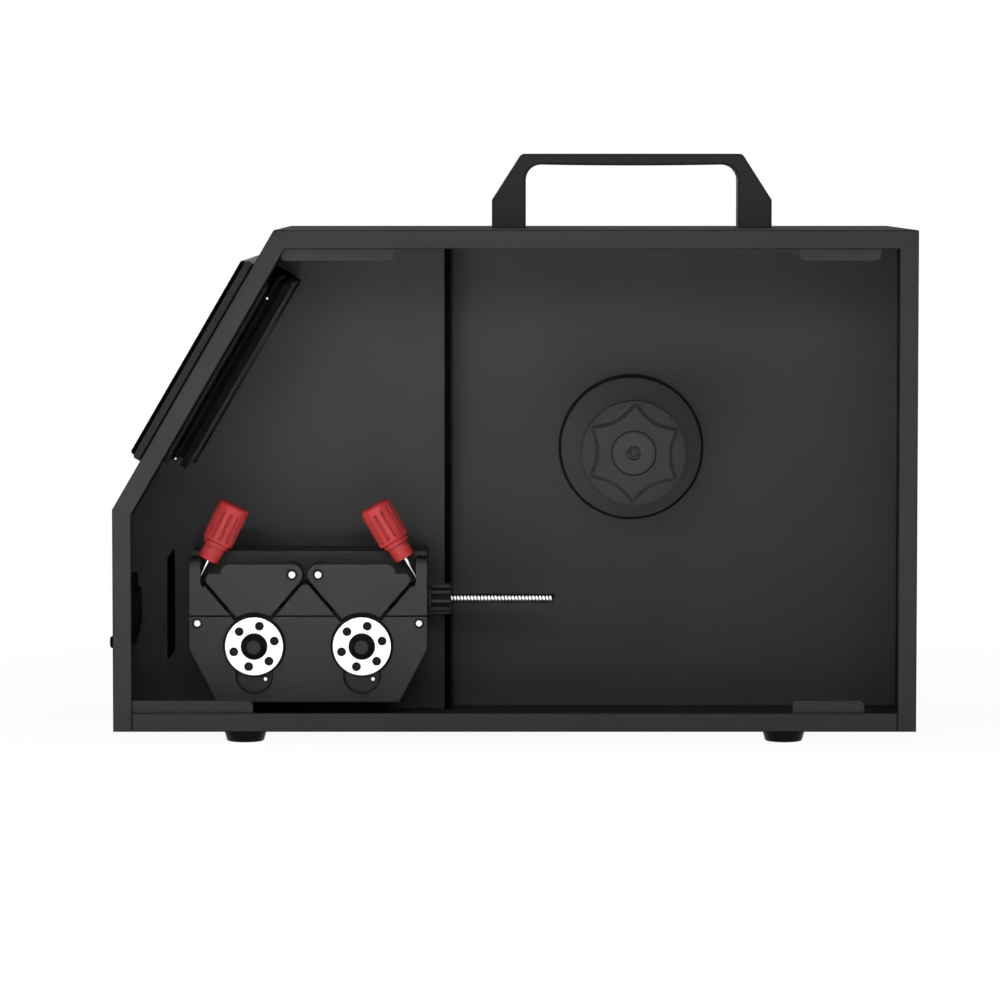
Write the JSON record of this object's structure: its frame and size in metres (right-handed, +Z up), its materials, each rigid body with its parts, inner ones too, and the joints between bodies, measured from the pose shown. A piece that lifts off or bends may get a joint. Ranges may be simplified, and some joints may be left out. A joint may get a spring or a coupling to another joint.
{
  "type": "wire feeder unit",
  "caption": "Open-sided sheet-metal wire feeder with a geared roll drive, tension bolts, a spool hub with a star nut, a sloped control panel and a carrying handle.",
  "frame": {"origin": "on the ground under the middle of the case", "axes": "+Z up, +X to the right along the case, -Y out of the open side"},
  "size_m": [0.5208, 0.2481, 0.379],
  "materials": {
    "case_paint": "fine matt powder coat",
    "panel_paint": "matt powder coat",
    "black_plastic": "moulded matt",
    "grey_plastic": "moulded matt",
    "black_glass": "gloss",
    "rubber": "matt",
    "bright_metal": "satin",
    "light_metal": "satin",
    "red_plastic": "satin",
    "dark_steel": "blacked, satin",
    "board": "satin"
  },
  "bodies": {
    "case": {"case_wrap": "case_paint", "base_tray": "case_paint", "rear_cover": "case_paint", "feeder_panel": "panel_paint", "spool_panel": "panel_paint", "edge_trim": "rubber", "door_tabs": "black_plastic", "handle": "black_plastic", "feet": "rubber", "display_gasket": "rubber", "display_bezel": "black_plastic", "display_glass": "black_glass", "display_housing": "black_plastic", "display_clamp": "black_plastic", "spool_axle": "bright_metal", "brake_screw": "dark_steel", "feed_body": "grey_plastic", "feed_cover": "grey_plastic", "cover_screws": "bright_metal", "dowel_pins": "bright_metal", "arm_pivot_pins": "bright_metal", "bolt_pivot_pins": "bright_metal", "wire_guides": "dark_steel", "inlet_connector": "grey_plastic", "spring_guide": "bright_metal", "outlet_bush": "black_plastic", "jog_switch": "black_plastic", "feed_motor": "bright_metal", "motor_gearbox": "light_metal", "control_board": "board", "power_supply": "light_metal", "power_inlet": "black_plastic", "control_socket": "light_metal", "switch_frame": "black_plastic"},
    "drive_left": {"drive_shaft_left": "dark_steel", "drive_roll_left": "dark_steel", "roll_plate_left": "light_metal", "roll_cap_left": "black_plastic"},
    "press_arm_left": {"press_arm_left": "grey_plastic", "press_pin_left": "bright_metal"},
    "press_roll_left": {"press_roll_left": "dark_steel"},
    "bolt_left": {"tension_rod_left": "bright_metal"},
    "knob_left": {"tension_knob_left": "red_plastic"},
    "drive_right": {"drive_shaft_right": "dark_steel", "drive_roll_right": "dark_steel", "roll_plate_right": "light_metal", "roll_cap_right": "black_plastic"},
    "press_arm_right": {"press_arm_right": "grey_plastic", "press_pin_right": "bright_metal"},
    "press_roll_right": {"press_roll_right": "dark_steel"},
    "bolt_right": {"tension_rod_right": "bright_metal"},
    "knob_right": {"tension_knob_right": "red_plastic"},
    "pinion": {"drive_pinion": "dark_steel"},
    "spool_hub": {"spool_hub": "black_plastic"},
    "spool_nut": {"spool_nut": "black_plastic"},
    "jog_button": {"jog_button": "red_plastic"},
    "switch_rocker": {"switch_rocker": "red_plastic"}
  },
  "joints": [
    {"name": "drive_left_spin", "type": "hinge", "parent": "case", "child": "drive_left", "pos_m": [-0.16985, -0.052, 0.0581], "axis": [0, 1, 0], "continuous": true},
    {"name": "left_bolt_swing", "type": "hinge", "parent": "case", "child": "bolt_left", "pos_m": [-0.20855, -0.056, 0.0967], "axis": [0, -1, 0], "range_deg": [0, 57]},
    {"name": "left_knob_turn", "type": "hinge", "parent": "bolt_left", "child": "knob_left", "pos_m": [-0.20855, -0.056, 0.0967], "axis": [0.4384, 0, 0.8988], "range_deg": [-720, 720]},
    {"name": "left_arm_lift", "type": "hinge", "parent": "case", "child": "press_arm_left", "pos_m": [-0.1452, -0.062, 0.1047], "axis": [0, 1, 0], "range_deg": [0, 19.3]},
    {"name": "press_left_spin", "type": "hinge", "parent": "press_arm_left", "child": "press_roll_left", "pos_m": [-0.16985, -0.052, 0.0993], "axis": [0, 1, 0], "continuous": true},
    {"name": "drive_right_spin", "type": "hinge", "parent": "case", "child": "drive_right", "pos_m": [-0.09955, -0.052, 0.0581], "axis": [0, 1, 0], "continuous": true},
    {"name": "right_bolt_swing", "type": "hinge", "parent": "case", "child": "bolt_right", "pos_m": [-0.06116, -0.056, 0.09686], "axis": [0, 1, 0], "range_deg": [0, 60]},
    {"name": "right_knob_turn", "type": "hinge", "parent": "bolt_right", "child": "knob_right", "pos_m": [-0.06116, -0.056, 0.09686], "axis": [-0.509, 0, 0.8607], "range_deg": [-720, 720]},
    {"name": "right_arm_lift", "type": "hinge", "parent": "case", "child": "press_arm_right", "pos_m": [-0.1281, -0.062, 0.1047], "axis": [0, -1, 0], "range_deg": [0, 20.3]},
    {"name": "press_right_spin", "type": "hinge", "parent": "press_arm_right", "child": "press_roll_right", "pos_m": [-0.09955, -0.052, 0.0993], "axis": [0, 1, 0], "continuous": true},
    {"name": "pinion_spin", "type": "hinge", "parent": "case", "child": "pinion", "pos_m": [-0.1347, -0.027, 0.0581], "axis": [0, 1, 0], "continuous": true},
    {"name": "spool_hub_spin", "type": "hinge", "parent": "case", "child": "spool_hub", "pos_m": [0.0781, -0.022, 0.1836], "axis": [0, 1, 0], "continuous": true},
    {"name": "spool_nut_slide", "type": "slide", "parent": "spool_hub", "child": "spool_nut", "axis": [0, -1, 0], "range_m": [0, 0.07]},
    {"name": "jog_press", "type": "slide", "parent": "case", "child": "jog_button", "axis": [1, 0, 0], "range_m": [0, 0.0015], "stiffness_N_per_m": 400},
    {"name": "rocker_tilt", "type": "hinge", "parent": "case", "child": "switch_rocker", "pos_m": [0.118, 0.122, 0.07], "axis": [-1, 0, 0], "range_deg": [0, 14]}
  ],
  "couplings": [
    {"joint": "left_arm_lift", "follows": "left_bolt_swing", "ratio": 0.33},
    {"joint": "press_left_spin", "follows": "drive_left_spin", "ratio": -2.6364},
    {"joint": "right_arm_lift", "follows": "right_bolt_swing", "ratio": 0.33},
    {"joint": "press_right_spin", "follows": "drive_left_spin", "ratio": -2.6364},
    {"joint": "drive_right_spin", "follows": "drive_left_spin", "ratio": 1},
    {"joint": "pinion_spin", "follows": "drive_left_spin", "ratio": -2.1111}
  ]
}
